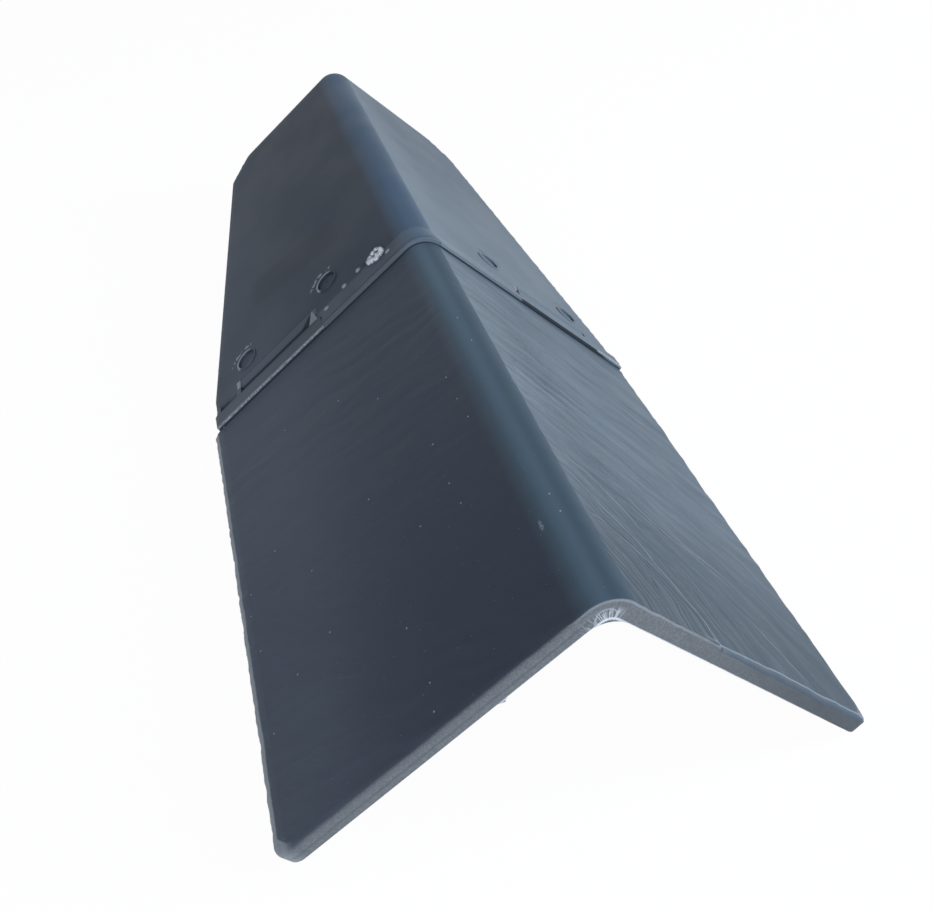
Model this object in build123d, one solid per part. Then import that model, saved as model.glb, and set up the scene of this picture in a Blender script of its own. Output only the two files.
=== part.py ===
from build123d import *
from math import cos, radians, sin
import os

os.makedirs("parts", exist_ok=True)

# A moulded composite ridge tile: two flat legs that meet in a rounded ridge.
# The front part of its length is exposed on the roof and has a thick dressed edge.
# The back part, the headlap, goes under the next tile: it is narrower towards its end and thinner.
# Lengths are in millimetres. +Y runs along the ridge to the hidden end, +X to the right, +Z up.

# Overall shape
total_length = 500.0
exposed_length = 244.0
leg_pitch = 41.0
exposed_leg = 145.5
ridge_radius = 12.0
ridge_inner_radius = 10.0

# Thickness, measured square to a leg
exposed_thickness = 7.6
headlap_end_thickness = 4.0

# Outline of a leg, seen square to it
near_corner_radius = 8.0
headlap_leg = 140.5
headlap_straight = 26.0
headlap_end_leg = 98.0
far_corner_length = 16.0
far_corner_width = 17.0
far_corner_radius = 6.0

# Dressed edges of the exposed part
side_bevel_width = 4.5
side_bevel_depth = 1.6
end_bevel = 1.2

# Weather bead across the tile, where the next tile stops
bead_height = 1.8
bead_front_slope = 0.6
bead_top = 2.6
bead_back_slope = 14.0
wide_bead_top = 9.4
wide_bead_start = 65.0

# Drainage trough behind the bead, on each leg
trough_start = 67.0
trough_end = 122.0
trough_depth = 2.6
trough_length = 14.0
web_thickness = 3.5
side_groove_end = 137.0
side_groove_depth = 1.4
side_groove_length = 10.0

# Nail marks on the headlap, two to a leg
nail_mark_places = (56.0, 115.0)
nail_mark_setback = 36.0
nail_mark_radius = 7.0
nail_rim_width = 1.2
nail_rim_height = 0.7
nail_recess_depth = 0.8
nail_dimple_radius = 1.4
nail_dimple_depth = 0.7

# Stub of the moulding gate, and the small pips beside it, on the left leg only
gate_place = (26.0, 17.0)
gate_radius = 5.8
gate_tip_radius = 5.0
gate_height = 2.2
pip_places = ((19.0, 11.5), (37.5, 20.5), (47.5, 18.5), (60.5, 13.5))
pip_radius = 1.5
pip_height = 0.7

# How far a solid that is added or cut runs into or past the surface it meets
overlap = 2.0

slope = radians(leg_pitch)
near_end = -total_length / 2
far_end = total_length / 2
joint = near_end + exposed_length

# The virtual apex is the line where the flat outer faces of the legs would meet without a radius.
# The tile stands on the lower corners of its exposed legs, at height zero.
apex_height = exposed_leg * sin(slope) + exposed_thickness * cos(slope)


def leg_point(side, along, normal, y):
    """A point of a leg: along it from the virtual apex, and square to its outer face."""
    x = side * (along * cos(slope) + normal * sin(slope))
    z = apex_height - along * sin(slope) + normal * cos(slope)
    return Vector(x, y, z)


def ridge_arc(y, radius, normal):
    """The rounding of the two planes that lie at this height over the outer faces."""
    centre = apex_height + (normal - radius) / cos(slope)
    right = Vector(radius * sin(slope), y, centre + radius * cos(slope))
    left = Vector(-radius * sin(slope), y, centre + radius * cos(slope))
    return left, Vector(0, y, centre + radius), right


def section(y, length, top, bottom, top_radius, bottom_radius):
    """The V-shaped cross section at one place along the ridge, between two heights over the leg."""
    top_left, top_middle, top_right = ridge_arc(y, top_radius, top)
    low_left, low_middle, low_right = ridge_arc(y, bottom_radius, bottom)
    edges = [
        Line(leg_point(-1, length, top, y), top_left),
        ThreePointArc(top_left, top_middle, top_right),
        Line(top_right, leg_point(1, length, top, y)),
        Line(leg_point(1, length, top, y), leg_point(1, length, bottom, y)),
        Line(leg_point(1, length, bottom, y), low_right),
        ThreePointArc(low_right, low_middle, low_left),
        Line(low_left, leg_point(-1, length, bottom, y)),
        Line(leg_point(-1, length, bottom, y), leg_point(-1, length, top, y)),
    ]
    return make_face(edges)


def on_both_legs(solid):
    """Puts a solid drawn on a flat leg onto the right leg, and its mirror image onto the left."""
    right = Location((0, 0, apex_height), (0, leg_pitch, 0)) * solid
    return right + mirror(right, Plane.YZ)


def on_left_leg(solid):
    """Puts a solid drawn on a flat leg onto the left leg only."""
    right = Location((0, 0, apex_height), (0, leg_pitch, 0)) * solid
    return mirror(right, Plane.YZ)


def prism_across(profile, start, end):
    """A profile of (y, height) points, carried across a flat leg from one distance to another."""
    points = [Vector(start, y, height) for y, height in profile]
    face = make_face(Polyline(*points, close=True))
    return extrude(face, amount=end - start, dir=(1, 0, 0))


def hollow(y, run, rise):
    """The space under the legs, from one place along the ridge, in a straight run that may rise."""
    left, middle, right = ridge_arc(y, ridge_inner_radius, -exposed_thickness)
    reach = exposed_leg + exposed_thickness
    low_right = leg_point(1, reach, -exposed_thickness, y)
    low_left = leg_point(-1, reach, -exposed_thickness, y)
    drop = Vector(0, 0, exposed_thickness)
    edges = [
        Line(low_left, left),
        ThreePointArc(left, middle, right),
        Polyline(right, low_right, low_right - drop, low_left - drop, low_left),
    ]
    way = Vector(0, run, rise)
    return extrude(make_face(edges), amount=way.length, dir=way)


def plate():
    """The bare V: the exposed part is even, and the headlap thins towards its end from below."""
    front = section(near_end, exposed_leg, -end_bevel, -exposed_thickness,
                    ridge_radius - end_bevel, ridge_inner_radius)
    behind_bevel = section(near_end + end_bevel, exposed_leg, 0, -exposed_thickness,
                           ridge_radius, ridge_inner_radius)
    whole = loft([front, behind_bevel], ruled=True)
    whole += extrude(behind_bevel, amount=total_length - end_bevel, dir=(0, 1, 0))
    run = total_length - exposed_length + overlap
    thinning = (exposed_thickness - headlap_end_thickness) / (total_length - exposed_length)
    return whole - hollow(joint, run, run * thinning / cos(slope))


def leg_outline():
    """The outline of one leg seen square to it, from the ridge out to its side."""
    sharp = Polyline(
        Vector(0, near_end),
        Vector(exposed_leg, near_end),
        Vector(exposed_leg, joint),
        Vector(headlap_leg, joint),
        Vector(headlap_leg, joint + headlap_straight),
        Vector(headlap_end_leg, far_end - far_corner_length),
        Vector(headlap_end_leg - far_corner_width, far_end),
        Vector(0, far_end),
        close=True,
    )
    face = make_face(sharp)
    near_corner = face.vertices().filter_by_position(Axis.Y, near_end, near_end)
    face = fillet(near_corner.sort_by(Axis.X)[-1], near_corner_radius)
    far_corners = face.vertices().filter_by_position(Axis.Y, far_end - far_corner_length, far_end)
    return fillet(far_corners.sort_by(Axis.X)[1:], far_corner_radius)


def outline_waste():
    """All of a leg's plate that lies outside its outline."""
    width = exposed_leg + 2 * overlap
    blank = Pos(width / 2, 0) * Rectangle(width, total_length + 2 * overlap)
    bottom = -exposed_thickness - overlap
    depth = exposed_thickness + bead_height + 2 * overlap
    return extrude(Pos(0, 0, bottom) * (blank - leg_outline()), amount=depth, dir=(0, 0, 1))


def side_bevel_waste():
    """The long wedge that leaves the wide, low bevel along the side of an exposed leg."""
    run = side_bevel_width + overlap
    drop = side_bevel_depth * run / side_bevel_width
    inner = exposed_leg - side_bevel_width
    corners = [
        Vector(inner, near_end - overlap, 0),
        Vector(inner + run, near_end - overlap, -drop),
        Vector(inner + run, near_end - overlap, overlap),
        Vector(inner, near_end - overlap, overlap),
    ]
    face = make_face(Polyline(*corners, close=True))
    return extrude(face, amount=exposed_length + overlap, dir=(0, 1, 0))


def bead():
    """The weather bead: a steep front, a narrow flat top and a long slope down to the headlap."""
    length = headlap_leg
    top_start = joint + bead_front_slope
    top_end = top_start + bead_top
    back = top_end + bead_back_slope
    low = section(joint, length, 0, -overlap, ridge_radius, ridge_radius - overlap)
    start = section(top_start, length, bead_height, -overlap,
                    ridge_radius + bead_height, ridge_radius - overlap)
    end = section(top_end, length, bead_height, -overlap,
                  ridge_radius + bead_height, ridge_radius - overlap)
    tail = section(back, length, 0, -overlap, ridge_radius, ridge_radius - overlap)
    wide_profile = [
        (joint, -overlap),
        (joint, 0),
        (top_start, bead_height),
        (top_start + wide_bead_top, bead_height),
        (top_start + wide_bead_top, -overlap),
    ]
    wide = prism_across(wide_profile, wide_bead_start, length)
    body = loft([low, start], ruled=True) + extrude(start, amount=bead_top, dir=(0, 1, 0))
    body += loft([end, tail], ruled=True)
    return body + on_both_legs(wide)


def trough_waste():
    """The wedge-shaped trough of a leg, a web, and the shallower groove out to the side."""
    front = joint + bead_front_slope + wide_bead_top
    above = bead_height + overlap
    deep_profile = [
        (front, -trough_depth),
        (front + trough_length, 0),
        (front + trough_length, above),
        (front, above),
    ]
    groove_profile = [
        (front, -side_groove_depth),
        (front + side_groove_length, 0),
        (front + side_groove_length, above),
        (front, above),
    ]
    deep = prism_across(deep_profile, trough_start, trough_end)
    return deep + prism_across(groove_profile, trough_end + web_thickness, side_groove_end)


def nail_marks():
    """Where the nails go: a shallow round recess in a low rim, with a dimple for the nail's point."""
    y = joint + nail_mark_setback
    inner_radius = nail_mark_radius - nail_rim_width
    rim_height = nail_rim_height + overlap
    recess_height = nail_recess_depth + overlap
    rims = []
    recesses = []
    for place in nail_mark_places:
        rim = Pos(place, y, nail_rim_height - rim_height / 2)
        rims.append(rim * Cylinder(nail_mark_radius, rim_height))
        recess = Pos(place, y, recess_height / 2 - nail_recess_depth)
        recesses.append(recess * Cylinder(inner_radius, recess_height))
        dimple = Pos(place, y, -nail_recess_depth - nail_dimple_depth / 2)
        recesses.append(dimple * Cone(0, nail_dimple_radius, nail_dimple_depth))
    return rims, recesses


def gate_and_pips():
    """The broken gate, a low round stub, and the pips that vents in the mould leave beside it."""
    along, setback = gate_place
    stub_height = gate_height + overlap
    stub = Pos(along, joint + setback, gate_height - stub_height / 2)
    body = stub * Cone(gate_radius, gate_tip_radius, stub_height)
    for along, setback in pip_places:
        ball_radius = (pip_radius ** 2 + pip_height ** 2) / (2 * pip_height)
        body += Pos(along, joint + setback, pip_height - ball_radius) * Sphere(ball_radius)
    return body


def ridge_tile():
    """The whole moulding in one solid."""
    body = plate()
    body -= on_both_legs(outline_waste())
    body -= on_both_legs(side_bevel_waste())
    body += bead()
    body -= on_both_legs(trough_waste())
    rims, recesses = nail_marks()
    for rim in rims:
        body += on_both_legs(rim)
    body += on_left_leg(gate_and_pips())
    for recess in recesses:
        body -= on_both_legs(recess)
    return body


tile = ridge_tile()
export_step(tile, "parts/ridge_tile.step")
print("ridge_tile", round(tile.volume), "mm3, size", tile.bounding_box().size)
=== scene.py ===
# %% [markdown]
# # Dressing a moulded ridge tile
# A ridge tile closes the top of a roof. This one is a single moulding of mineral-filled polymer:
# two flat legs that meet in a rounded ridge, with a face that is moulded from riven slate.
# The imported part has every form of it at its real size, but flat faces and sharp corners.
# The lesson builds a finer mesh of the same tile, gives it the riven face and the dressed edges,
# and then its material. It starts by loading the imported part, which fixes all places and sizes.

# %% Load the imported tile
import math

import bmesh
import bpy
import numpy as np
from mathutils import Matrix, Vector
from mathutils.geometry import delaunay_2d_cdt
from mathutils.kdtree import KDTree


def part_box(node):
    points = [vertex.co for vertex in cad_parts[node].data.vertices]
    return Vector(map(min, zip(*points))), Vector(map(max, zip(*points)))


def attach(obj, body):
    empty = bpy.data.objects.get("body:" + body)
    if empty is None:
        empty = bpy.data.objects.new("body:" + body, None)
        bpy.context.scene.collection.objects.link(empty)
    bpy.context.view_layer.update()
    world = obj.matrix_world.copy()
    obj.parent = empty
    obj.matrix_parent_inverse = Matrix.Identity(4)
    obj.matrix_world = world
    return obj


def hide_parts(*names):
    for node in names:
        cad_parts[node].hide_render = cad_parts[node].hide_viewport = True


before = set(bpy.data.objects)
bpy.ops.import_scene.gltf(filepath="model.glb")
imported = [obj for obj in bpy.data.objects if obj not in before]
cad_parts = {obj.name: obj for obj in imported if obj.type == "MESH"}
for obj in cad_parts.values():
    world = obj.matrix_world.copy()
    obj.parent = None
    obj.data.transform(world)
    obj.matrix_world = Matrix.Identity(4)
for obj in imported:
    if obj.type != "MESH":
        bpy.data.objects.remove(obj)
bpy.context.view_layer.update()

# %% [markdown]
# ## The sizes
# A designer draws such a tile flat, as a sheet with heights, and then folds it over the ridge.
# The lesson does the same. A place on the flat sheet is given by `across`, the distance from the
# ridge line along a leg, negative on the left leg, and by `y`, along the ridge.
# The sizes are those of the part, in millimetres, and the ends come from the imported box.

# %% Sizes of the sheet, in millimetres
MM = 0.001
box_low, box_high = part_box("ridge_tile")
near_end = box_low[1] / MM
far_end = box_high[1] / MM
exposed_length = 244.0
joint = near_end + exposed_length
leg_pitch = math.radians(41.0)
exposed_leg = 145.5
exposed_thickness = 7.6
headlap_end_thickness = 4.0
ridge_radius = 12.0
ridge_inner_radius = 10.0
apex_height = exposed_leg * math.sin(leg_pitch) + exposed_thickness * math.cos(leg_pitch)
arc_reach = ridge_radius * math.tan(leg_pitch)
print("virtual apex at", round(apex_height, 2), "mm, arc to", round(arc_reach, 2), "mm from it")

# %% [markdown]
# ## The outline of the sheet
# The exposed part is a plain rectangle with rounded corners at the near end. Behind the joint each
# leg steps in, runs straight for a little, and then tapers to the far end, whose corners are cut.
# A closed polygon would do, but its corners would be sharp, so a small function rounds each corner
# that has a radius and then adds points, so that later the edge can be worn and chipped.

# %% Draw the outline
headlap_leg = 140.5
headlap_straight = 26.0
headlap_end_leg = 98.0
far_corner_length = 16.0
far_corner_width = 17.0
far_corner_radius = 6.0
near_corner_radius = 8.0
edge_spacing = 1.2


def rounded_path(corners, spacing):
    """A closed path through corners of (across, y, radius), rounded and in even steps."""
    places = [Vector(corner[:2]) for corner in corners]
    path = []
    for i, (x, y, radius) in enumerate(corners):
        corner = places[i]
        back = (places[i - 1] - corner).normalized()
        ahead = (places[(i + 1) % len(places)] - corner).normalized()
        if radius == 0:
            path.append(corner)
            continue
        half = back.angle(ahead) / 2
        centre = corner + (back + ahead).normalized() * radius / math.sin(half)
        start = corner + back * radius / math.tan(half) - centre
        end = corner + ahead * radius / math.tan(half) - centre
        steps = max(3, math.ceil(radius * start.angle(end) / spacing))
        for k in range(steps + 1):
            way = start.lerp(end, k / steps).normalized()
            path.append(centre + way * radius)
    even = []
    for here, there in zip(path, path[1:] + path[:1]):
        count = max(1, round((there - here).length / spacing))
        even += [here.lerp(there, k / count) for k in range(count)]
    return np.array([tuple(place) for place in even])


right_half = [
    (exposed_leg, near_end, near_corner_radius),
    (exposed_leg, joint, 0),
    (headlap_leg, joint, 0),
    (headlap_leg, joint + headlap_straight, 0),
    (headlap_end_leg, far_end - far_corner_length, far_corner_radius),
    (headlap_end_leg - far_corner_width, far_end, far_corner_radius),
]
left_half = [(-across, y, radius) for across, y, radius in reversed(right_half)]
outline = rounded_path(right_half + left_half, edge_spacing)
print("outline points:", len(outline))

# %% [markdown]
# ## The heights of the face
# Everything on the face is a height over the flat leg: bevels, the weather bead with its steep
# front, the drainage troughs behind it, the nail marks and the stub where the gate was broken off.
# It could be cut from solids, but a height that is worked out at each point also leaves room for
# relief later. Each wall gets a run of a quarter of a millimetre, as a moulding needs to leave its
# mould, and that small slope catches the light as the real edges do.

# %% Give each place on the face its height
wall_run = 0.25
side_bevel_width = 4.5
side_bevel_depth = 1.6
end_places = (-130.0, -24.0, -9.0, 9.0, 50.0, 62.0, 130.0)
end_widths = (3.0, 2.8, 0.6, 0.5, 0.5, 1.8, 2.2)
end_drops = (2.3, 2.1, 0.4, 0.3, 0.3, 1.2, 1.5)
bead_height = 1.8
bead_front_slope = 0.6
bead_top = 2.6
bead_back_slope = 14.0
wide_bead_start = 65.0
wide_bead_end = bead_front_slope + 9.4
trough_start = 67.0
trough_end = 122.0
trough_depth = 2.6
trough_length = 14.0
wall_lean = 2.5
wall_reach = 11.0
groove_start = trough_end + 3.5
groove_end = 137.0
groove_depth = 1.4
groove_length = 10.0
troughs = (
    (trough_start, trough_end, trough_depth, trough_length),
    (groove_start, groove_end, groove_depth, groove_length),
)
nail_places = (56.0, 115.0)
nail_setback = 36.0
nail_marks = [(side * place, joint + nail_setback) for side in (-1, 1) for place in nail_places]
nail_radius = 7.0
nail_inner_radius = 5.8
nail_rim_height = 0.5
nail_recess_depth = 0.6
dimple_radius = 1.4
dimple_depth = 0.7
gate = (-26.0, joint + 17.0)
gate_radius = 5.8
gate_height = 2.2
torn_height = 1.75
slit_place = (1.2, 1.1)
slit_way = (0.967, 0.255)
slit_depth = 1.4
slit_width = 0.62
slit_reach = 2.7
pips = [(-19.0, joint + 11.5), (-37.5, joint + 20.5), (-47.5, joint + 18.5), (-60.5, joint + 13.5)]
pip_radius = 1.5
pip_height = 0.7
tiny = 0.001


def between(value, start, end):
    """One from start to end and nothing outside, with a short ramp at each end."""
    rise = np.clip((value - start) / wall_run + 1, 0, 1)
    return rise * np.clip((end - value) / wall_run + 1, 0, 1)


def gate_stretch(right):
    """How much narrower than a circle the torn stub is; its tail points down the leg."""
    return 1.22 + 0.13 * np.clip(-right, 0, None)


def gate_gap(across, y):
    """The distance from the gate's middle, measured so that the stub's outline is at its radius."""
    right = across - gate[0]
    return np.hypot(right, (y - gate[1]) * gate_stretch(right))


def broken_gate(across, y):
    """The torn top of the gate's stub: ripples, with a slit where the plug was pulled out."""
    right = across - gate[0]
    back = y - gate[1]
    ripple = 0.18 * np.sin(1.9 * right + 0.8 * back) + 0.16 * np.sin(2.3 * back - 1.1 * right + 1.0)
    along_slit = (right - slit_place[0]) * slit_way[0] + (back - slit_place[1]) * slit_way[1]
    off_slit = (right - slit_place[0]) * slit_way[1] - (back - slit_place[1]) * slit_way[0]
    slit = slit_depth * np.exp(-((off_slit / slit_width) ** 2))
    slit = slit * np.clip(slit_reach - np.abs(along_slit), 0, 1)
    return np.minimum(gate_height, torn_height + ripple - slit)


def face_height(across, y):
    """The height of the face over the flat legs, in millimetres."""
    out = np.abs(across)
    back = y - joint
    height = np.zeros_like(out)
    right = np.clip(out - exposed_leg + near_corner_radius, 0, None)
    down = np.clip(near_end + near_corner_radius - y, 0, None)
    cornered = (right > 0) & (down > 0)
    turn = np.arctan2(down, right) / (math.pi / 2)
    gap = (near_corner_radius - np.hypot(right, down)) / (1 + 0.8 * np.sin(math.pi * turn) ** 2)
    from_side = np.where(cornered, gap, exposed_leg - out)
    side = side_bevel_depth * np.clip(1 - from_side / side_bevel_width, 0, 1)
    end_widths_here = np.interp(across, end_places, end_widths)
    outward = 1 - np.clip(np.where(cornered, gap, y - near_end) / end_widths_here, 0, 1)
    end = np.interp(across, end_places, end_drops) * (1 - np.sqrt(1 - outward**2))
    drop = np.where(cornered, side * (1 - turn) + end * turn, np.maximum(side, end))
    height -= np.where(back < tiny, drop, 0)
    front = np.clip(back / bead_front_slope, 0, 1)
    tail = 1 - np.clip((back - bead_front_slope - bead_top) / bead_back_slope, 0, 1)
    bead = bead_height * front * tail
    wide = between(back, 0, wide_bead_end) * between(out, wide_bead_start, exposed_leg)
    bead = np.maximum(bead, bead_height * front * wide)
    height = np.where(back > tiny, bead, height)
    behind = np.clip((back - wide_bead_end) / wall_run, 0, 1)
    for start, end, depth, length in troughs:
        floor = np.minimum(-depth * (1 - (back - wide_bead_end) / length), height)
        share = np.clip((back - wide_bead_end) / length, 0, 1)
        ramp_foot = start + wall_lean * share
        ramp_run = wall_run + wall_reach * (1 - share)
        ramp = np.clip((out - ramp_foot) / ramp_run, 0, 1)
        inside = ramp * np.clip((end - out) / wall_run + 1, 0, 1) * behind
        inside = inside * (back < wide_bead_end + length)
        height = height + inside * (floor - height)
    for place in nail_marks:
        away = np.hypot(across - place[0], y - place[1])
        rim = np.clip((nail_radius - away) / wall_run, 0, 1) * nail_rim_height
        recess = np.clip((nail_inner_radius - away) / wall_run, 0, 1)
        recess = recess * (nail_recess_depth + nail_rim_height)
        dimple = np.clip(1 - away / dimple_radius, 0, 1) * dimple_depth
        height += rim - recess - dimple
    height += (broken_gate(across, y) - height) * np.clip(
        (gate_radius - gate_gap(across, y)) / wall_run / 2, 0, 1
    )
    for place in pips:
        away = np.hypot(across - place[0], y - place[1])
        height += pip_height * np.sqrt(np.clip(1 - (away / pip_radius) ** 2, 0, 1))
    return height


bead_found = face_height(np.zeros(1), np.array([joint + bead_top]))[0]
print("the bead on the ridge line is", bead_found, "mm high")

# %% [markdown]
# ## The ledges of the riven face
# The photo shows a few thin wavy lines on the right leg. Each is a ledge, where one layer of the
# slate ends. A noise could give lines, but not these, so each ledge is a path of a few corners,
# given from the ridge and from the near end, with its fall and how strong it is at its end.
# The path is smoothed by cutting its corners, and beside it the face is lower by a few tenths.
# The ledge's edge gets a painted highlight and its foot painted shade, so the same function also
# tells how lit each place is, with a negative number at the foot.

# %% Draw the ledges
ledges = [
    (((9.6, 121.1), (17.0, 120.0), (25.3, 114.7)), 0.3, 0.0),
    (((29.8, 143.5), (33.0, 141.4), (38.5, 139.8)), 0.3, 0.0),
    (((47.0, 142.5), (54.0, 139.5), (63.0, 138.5)), 0.3, 0.0),
    (((66.3, 68.2), (79.2, 61.7), (95.0, 56.7)), 0.3, 0.0),
    (((14.7, 69.9), (23.2, 55.7), (33.0, 50.0), (43.5, 28.8), (50.3, 14.5), (53.2, 0.4)),
     0.75, 1.0),
    (((48.4, 82.9), (58.2, 65.9), (78.2, 58.4), (88.4, 53.0), (96.0, 46.0)), 0.3, 0.0),
    (((90.0, 33.1), (97.5, 21.9), (106.0, 12.3), (111.0, 6.0)), 0.3, 0.0),
    (((10.9, 45.0), (22.1, 44.7), (33.9, 34.4), (39.3, 28.6)), 0.35, 0.0),
    (((66.0, 113.0), (83.3, 106.8), (97.4, 97.7)), 0.25, 0.0),
    (((14.0, 142.0), (28.4, 139.6), (37.8, 131.3), (46.0, 128.0)), 0.25, 0.0),
    (((12.0, 86.0), (26.0, 79.0), (40.0, 66.0), (47.0, 54.0)), 0.25, 0.0),
]
ledge_run = 1.3
ledge_edge = 0.8
ledge_reach = 30.0
ledge_spacing = 1.2


def ledge_path(corners):
    """Even points along a smoothed path, and the unit normals that point to its lower side."""
    path = np.array(corners)
    for _ in range(3):
        cut = np.stack([path[:-1] * 0.75 + path[1:] * 0.25, path[:-1] * 0.25 + path[1:] * 0.75], 1)
        path = np.concatenate([path[:1], cut.reshape(-1, 2), path[-1:]])
    run = np.concatenate([[0], np.cumsum(np.hypot(*np.diff(path, axis=0).T))])
    even = np.linspace(0, run[-1], round(run[-1] / ledge_spacing))
    across, y = (np.interp(even, run, path[:, i]) for i in (0, 1))
    path = np.stack([across, near_end + y], 1)
    ahead = np.gradient(path, axis=0)
    normals = np.stack([-ahead[:, 1], ahead[:, 0]], 1) / np.linalg.norm(ahead, axis=1)[:, None]
    wave = 0.35 * np.sin(even / 2.6) + 0.3 * np.sin(even / 5.1 + 1.0)
    return path + normals * wave[:, None], normals


def ledge_relief(across, y):
    """How far the ledges lower each place, in millimetres, and its painted light: plus for a
    highlight, minus for shade.
    """
    drop = np.zeros_like(across)
    ledge_light_and_shade = np.zeros_like(across)
    for corners, fall, at_end in ledges:
        path, normals = ledge_path(corners)
        gap = np.stack([across, y], 1)[:, None, :] - path[None]
        away = np.hypot(gap[..., 0], gap[..., 1])
        near = away.argmin(axis=1)
        rows = np.arange(len(across))
        past = (gap[rows, near] * normals[near]).sum(axis=1)
        last = len(path) - 1
        shown = np.interp(near, (0, last * 0.3, last * 0.75, last), (0, 1, 1, at_end))
        step = np.clip(past / ledge_run, 0, 1)
        back_up = np.clip((past - ledge_run) / ledge_reach, 0, 1)
        drop += fall * shown * step * step * (3 - 2 * step) * (1 - back_up)
        beside = np.clip(1 - away[rows, near] / (2 * ledge_run), 0, 1) > 0
        edge, foot = (np.clip(1 - np.abs(past - at) / ledge_edge, 0, 1) for at in (0, ledge_run))
        ledge_light_and_shade += shown * beside * (edge - foot)
    return drop, ledge_light_and_shade


print("ledges:", len(ledges), "with points at the first:", len(ledge_path(ledges[0][0])[0]))

# %% [markdown]
# ## Points and lines for the triangles
# A plain grid would cut across the walls and leave them ragged. Here the sheet gets a grid of
# points, finer on the exposed part, plus lines along every edge of a form and rings round every
# round one. A constrained Delaunay triangulation then keeps all those lines as edges.
# Grid points that lie close to a line are left out, because they would only make slivers.

# %% Lay out the points and the lines
points = []
lines = []
face_spacing = 1.5
headlap_spacing = 3.2
ridge_strip = 12
clearance = 0.5
near_rows = (0.25, 0.6, 1.1, 1.8, 2.9)
bead_top_end = bead_front_slope + bead_top
bead_rows = (bead_front_slope, bead_top_end, bead_top_end + bead_back_slope, 0.0)
nail_rings = [r - inset for r in (nail_radius, nail_inner_radius) for inset in (0, wall_run)]
gate_rings = (gate_radius, gate_radius - 2 * wall_run, 4.6, 3.9, 3.2, 2.5, 1.8, 1.1, 0.5)
pip_rings = (pip_radius, 1.3, 0.9, 0.45)


def add_line(places, closed=False):
    """Adds a chain of points whose steps stay edges in the mesh."""
    start = len(points)
    points.extend(tuple(place) for place in places)
    lines.extend((start + i, start + i + 1) for i in range(len(places) - 1))
    if closed:
        lines.append((len(points) - 1, start))


def straight(here, there, spacing=face_spacing):
    """Even points from one place to another."""
    count = max(1, math.ceil(math.dist(here, there) / spacing))
    return np.linspace(here, there, count + 1)


def ring(centre, radius, spacing):
    """Even points round a circle."""
    count = max(8, round(2 * math.pi * radius / spacing))
    turns = np.arange(count) * 2 * math.pi / count
    return np.stack([centre[0] + radius * np.cos(turns), centre[1] + radius * np.sin(turns)], 1)


add_line(outline, closed=True)
for back in near_rows:
    add_line(straight((-exposed_leg, near_end + back), (exposed_leg, near_end + back)))
for back in bead_rows:
    add_line(straight((-headlap_leg, joint + back), (headlap_leg, joint + back)))
for side in (-1, 1):
    bevel = side * (exposed_leg - side_bevel_width)
    add_line(straight((bevel, near_end), (bevel, joint)))
    for back in (wide_bead_end, wide_bead_end + wall_run):
        here = (side * wide_bead_start, joint + back)
        add_line(straight(here, (side * headlap_leg, joint + back)))
    for out in (wide_bead_start - wall_run, wide_bead_start):
        here = (side * out, joint + bead_front_slope + bead_top)
        add_line(straight(here, (side * out, joint + wide_bead_end + wall_run), 1.0))
    for start, end, _, length in troughs:
        far = joint + wide_bead_end + length
        foot = start + wall_lean
        add_line(straight((side * start, far), (side * end, far)))
        for near_out, far_out in (
            (start, foot),
            (start + wall_run + wall_reach, foot + wall_run),
            (end, end),
            (end + wall_run, end + wall_run),
        ):
            add_line(straight((side * near_out, joint + wide_bead_end), (side * far_out, far), 1.0))
for place in nail_marks:
    for radius in (*nail_rings, dimple_radius):
        add_line(ring(place, radius, 0.9), closed=True)
    points.append(place)
for radius in gate_rings:
    right, back = ring((0, 0), radius, 0.6).T
    add_line(np.stack([gate[0] + right, gate[1] + back / gate_stretch(right)], 1), closed=True)
slit_run = np.array(slit_way) * 2.2
for offset in (-0.5, 0.0, 0.5):
    middle = np.array(gate) + slit_place + np.array((slit_way[1], -slit_way[0])) * offset
    add_line(straight(middle - slit_run, middle + slit_run, 0.5))
for place in pips:
    for radius in pip_rings:
        add_line(ring(place, radius, 0.5), closed=True)
    points.append(place)
for corners, _, _ in ledges:
    path, normals = ledge_path(corners)
    for offset in (-ledge_edge, 0.0, ledge_edge, ledge_run, ledge_run + ledge_edge):
        add_line(path + normals * offset)
print("points on lines:", len(points), "lines:", len(lines))

# %% Fill the sheet with grid points
line_tree = KDTree(len(points))
for i, place in enumerate(points):
    line_tree.insert((*place, 0), i)
line_tree.balance()


def add_grid(y_start, y_end, y_spacing, spacing):
    """Adds rows of points, every other row shifted by half a step."""
    for row, y in enumerate(np.arange(y_start, y_end, y_spacing)):
        ridge = np.arange(-ridge_strip, ridge_strip, face_spacing * 0.8)
        leg = np.arange(ridge_strip, exposed_leg, spacing) + (row % 2) * spacing / 2
        for across in np.concatenate([-leg, ridge, leg]):
            _, _, distance = line_tree.find((across, y, 0))
            if distance > clearance:
                points.append((across, y))


add_grid(near_end + 3.8, joint, face_spacing, face_spacing)
add_grid(joint + 1.2, joint + 26, 1.0, face_spacing)
add_grid(joint + 27, joint + 46, 2.0, 2.0)
add_grid(joint + 48, far_end, headlap_spacing, headlap_spacing)
print("all points:", len(points))

# %% [markdown]
# ## The closed sheet
# The face is triangulated and cut back to the outline. Its border is walked round once, and the
# same border, at the depth of the underside, is triangulated for the underside. Rows of quads
# between the two borders make the edge. Under the ridge the inner radius has another centre,
# so the underside there is worked out on the folded tile and taken back to the flat sheet.


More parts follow.
